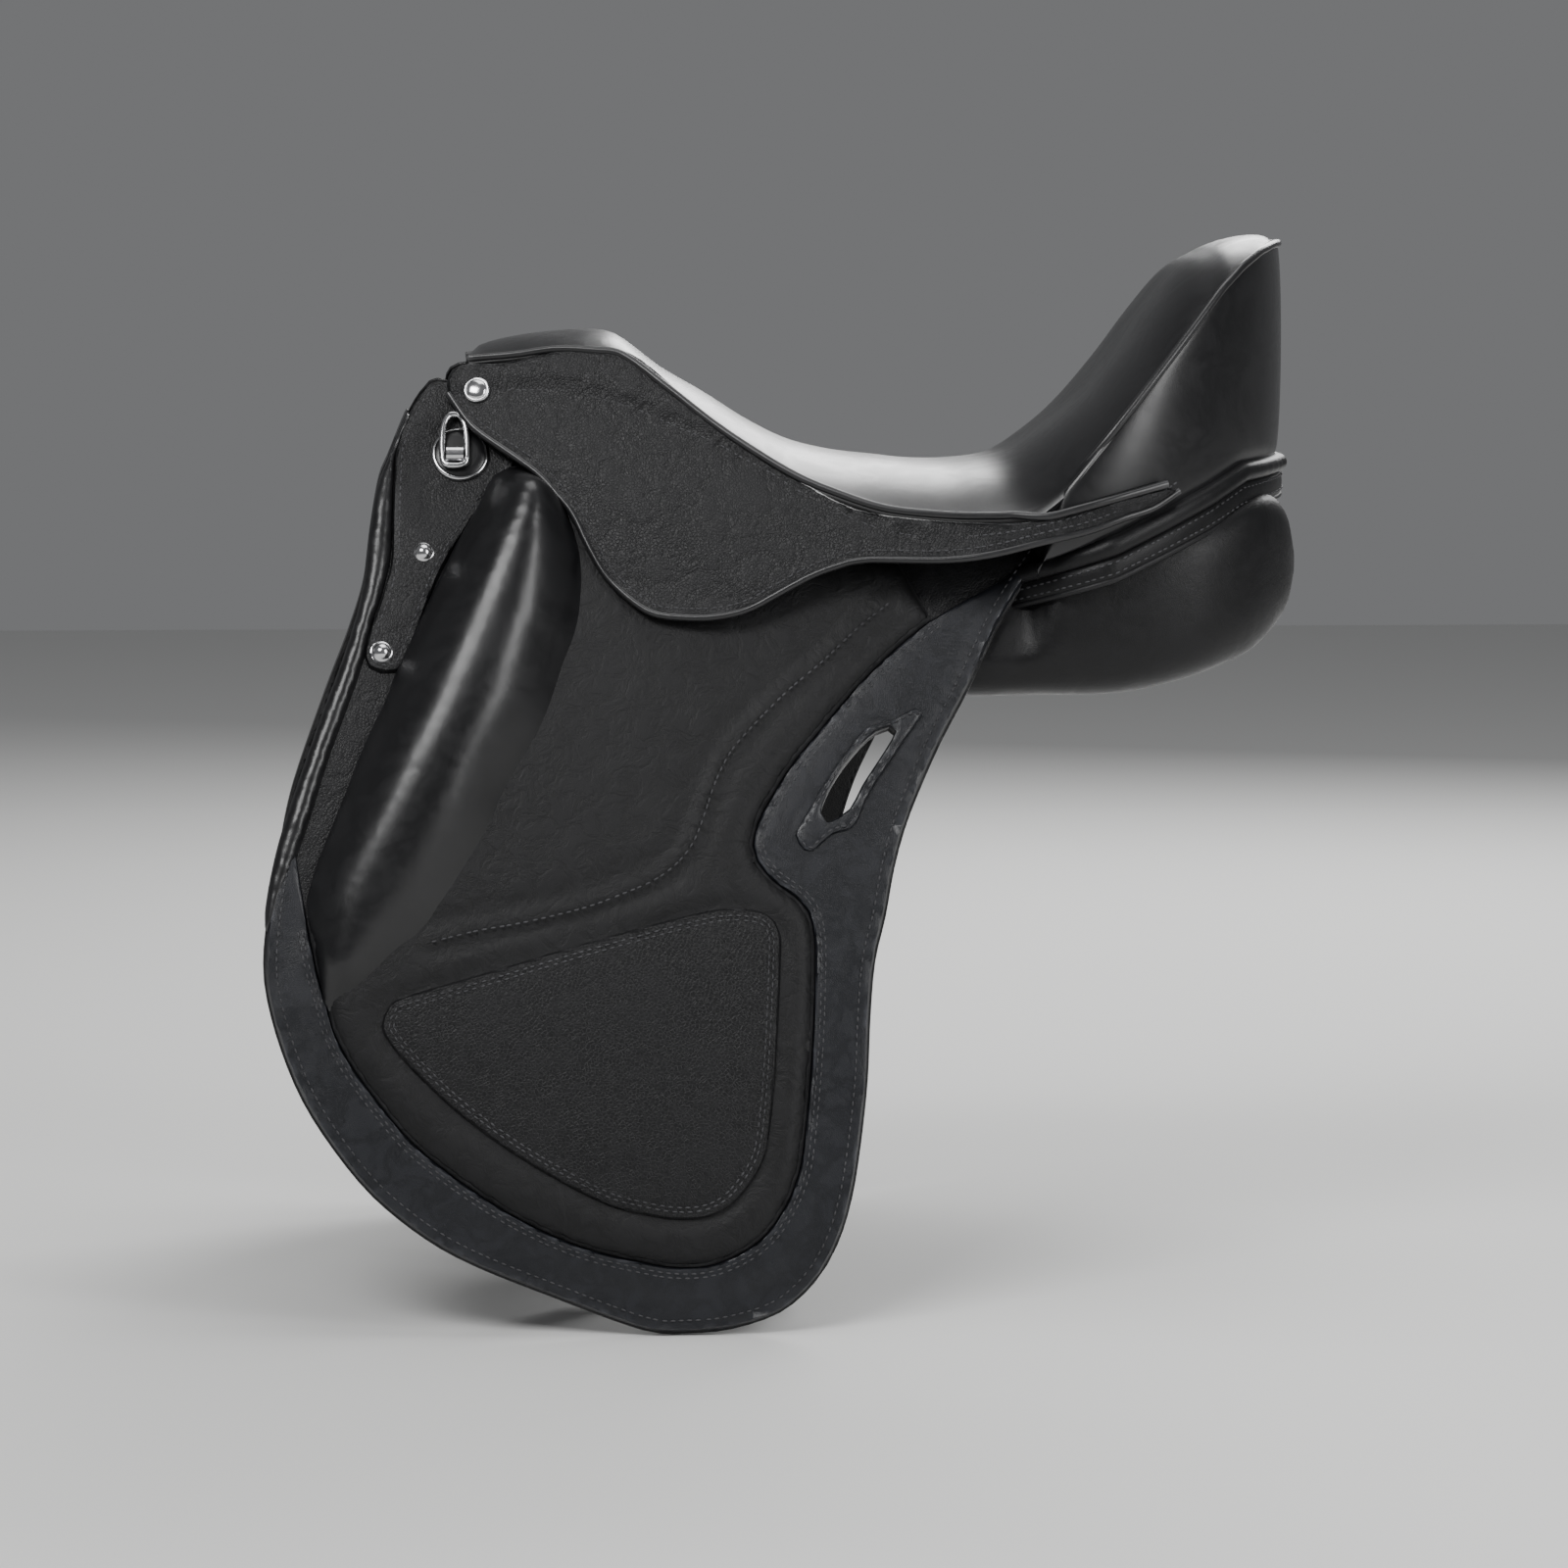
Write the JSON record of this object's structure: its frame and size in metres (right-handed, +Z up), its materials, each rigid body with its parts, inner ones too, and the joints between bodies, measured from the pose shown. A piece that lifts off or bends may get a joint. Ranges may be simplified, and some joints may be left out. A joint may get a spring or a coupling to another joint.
{
  "type": "english saddle",
  "caption": "Black leather dressage saddle with deep seat, single long flaps, thigh blocks, lifting skirts and flaps, stirrup bars, girth billets and D-rings.",
  "frame": {"origin": "on the centre line, in the channel between the two panels, under the deepest point of the seat, where the horse's spine or a saddle rack's rail passes", "axes": "+X to the rear (cantle), -Y to the near (left) side, +Z up"},
  "size_m": [0.555, 0.4428, 0.5637],
  "materials": {
    "seat_leather": "smooth black calf leather, glossy",
    "calf_leather": "soft matte black calf leather",
    "grain_leather": "black grained cowhide with creases",
    "border_leather": "fine-grained black leather, satin",
    "patch_leather": "black grip leather with a pebble grain",
    "panel_leather": "black panel leather over wool flock",
    "strap_leather": "black bridle leather",
    "web_cloth": "woven webbing",
    "foam": "latex foam, covered",
    "tree_wood": "laminated beech",
    "tree_steel": "plain steel",
    "bright_metal": "polished nickel plate",
    "ring_rim": "black plate with a bright rim"
  },
  "bodies": {
    "saddle": {"billet_webs_left": "web_cloth", "billet_webs_right": "web_cloth", "cantle_bow": "tree_wood", "cantle_gusset": "seat_leather", "cantle_welt": "seat_leather", "flap_head_left": "grain_leather", "flap_head_right": "grain_leather", "gullet_lining": "grain_leather", "panel_band": "border_leather", "panel_left": "panel_leather", "panel_right": "panel_leather", "panel_roll": "seat_leather", "ring_barrel_left": "bright_metal", "ring_barrel_right": "bright_metal", "ring_plate_left": "ring_rim", "ring_plate_right": "ring_rim", "seat_cover": "seat_leather", "seat_foam": "foam", "seat_web": "web_cloth", "seat_welt_left": "seat_leather", "seat_welt_right": "seat_leather", "skirt_nail_left": "bright_metal", "skirt_nail_right": "bright_metal", "skirt_yoke_left": "seat_leather", "skirt_yoke_right": "seat_leather", "stirrup_bar_left": "tree_steel", "stirrup_bar_right": "tree_steel", "tree_head": "tree_steel", "tree_rails": "tree_wood", "tree_rivets": "tree_steel"},
    "flap_left_lift": {"flap_left": "grain_leather", "flap_border_left": "border_leather", "flap_cushion_left": "calf_leather", "grip_patch_left": "patch_leather", "keeper_frame_left": "border_leather", "front_strap_left": "grain_leather", "front_roll_left": "grain_leather", "thigh_block_left": "seat_leather", "dome_studs_left": "bright_metal"},
    "skirt_left_lift": {"skirt_left": "grain_leather", "skirt_piping_left": "seat_leather"},
    "catch_left": {"bar_catch_left": "tree_steel"},
    "front_billet_left_strap": {"front_billet_left": "strap_leather"},
    "rear_billet_left_strap": {"rear_billet_left": "strap_leather"},
    "ring_left": {"d_ring_left": "bright_metal"},
    "flap_right_lift": {"flap_right": "grain_leather", "flap_border_right": "border_leather", "flap_cushion_right": "calf_leather", "grip_patch_right": "patch_leather", "keeper_frame_right": "border_leather", "front_strap_right": "grain_leather", "front_roll_right": "grain_leather", "thigh_block_right": "seat_leather", "dome_studs_right": "bright_metal"},
    "skirt_right_lift": {"skirt_right": "grain_leather", "skirt_piping_right": "seat_leather"},
    "catch_right": {"bar_catch_right": "tree_steel"},
    "front_billet_right_strap": {"front_billet_right": "strap_leather"},
    "rear_billet_right_strap": {"rear_billet_right": "strap_leather"},
    "ring_right": {"d_ring_right": "bright_metal"}
  },
  "joints": [
    {"name": "flap_left_hinge", "type": "hinge", "parent": "saddle", "child": "flap_left_lift", "pos_m": [-0.292, -0.08941, 0.084], "axis": [-0.9912, 0.0562, 0.1196], "range_deg": [0, 24]},
    {"name": "skirt_left_hinge", "type": "hinge", "parent": "saddle", "child": "skirt_left_lift", "pos_m": [-0.222, -0.09564, 0.0995], "axis": [-0.9623, 0.2063, 0.1773], "range_deg": [0, 72]},
    {"name": "catch_left_pin", "type": "hinge", "parent": "saddle", "child": "catch_left", "pos_m": [-0.109, -0.09681, 0.08141], "axis": [0, -0.4377, -0.8991], "range_deg": [0, 75]},
    {"name": "ring_left_pin", "type": "hinge", "parent": "saddle", "child": "ring_left", "pos_m": [-0.254, -0.09019, 0.09815], "axis": [1, 0, 0], "range_deg": [0, 110]},
    {"name": "front_billet_left_swing", "type": "hinge", "parent": "saddle", "child": "front_billet_left_strap", "pos_m": [-0.172, -0.11575, -0.028], "axis": [0, 1, 0], "range_deg": [-20, 20]},
    {"name": "rear_billet_left_swing", "type": "hinge", "parent": "saddle", "child": "rear_billet_left_strap", "pos_m": [-0.084, -0.12125, -0.028], "axis": [0, 1, 0], "range_deg": [-20, 20]},
    {"name": "flap_right_hinge", "type": "hinge", "parent": "saddle", "child": "flap_right_lift", "pos_m": [-0.292, 0.08941, 0.084], "axis": [0.9912, 0.0562, -0.1196], "range_deg": [0, 24]},
    {"name": "skirt_right_hinge", "type": "hinge", "parent": "saddle", "child": "skirt_right_lift", "pos_m": [-0.222, 0.09564, 0.0995], "axis": [0.9623, 0.2063, -0.1773], "range_deg": [0, 72]},
    {"name": "catch_right_pin", "type": "hinge", "parent": "saddle", "child": "catch_right", "pos_m": [-0.109, 0.09681, 0.08141], "axis": [0, -0.4377, 0.8991], "range_deg": [0, 75]},
    {"name": "ring_right_pin", "type": "hinge", "parent": "saddle", "child": "ring_right", "pos_m": [-0.254, 0.09019, 0.09815], "axis": [-1, 0, 0], "range_deg": [0, 110]},
    {"name": "front_billet_right_swing", "type": "hinge", "parent": "saddle", "child": "front_billet_right_strap", "pos_m": [-0.172, 0.11575, -0.028], "axis": [0, 1, 0], "range_deg": [-20, 20]},
    {"name": "rear_billet_right_swing", "type": "hinge", "parent": "saddle", "child": "rear_billet_right_strap", "pos_m": [-0.084, 0.12125, -0.028], "axis": [0, 1, 0], "range_deg": [-20, 20]}
  ],
  "couplings": [
    {"joint": "skirt_left_hinge", "follows": "flap_left_hinge", "ratio": 3},
    {"joint": "skirt_right_hinge", "follows": "flap_right_hinge", "ratio": 3}
  ]
}
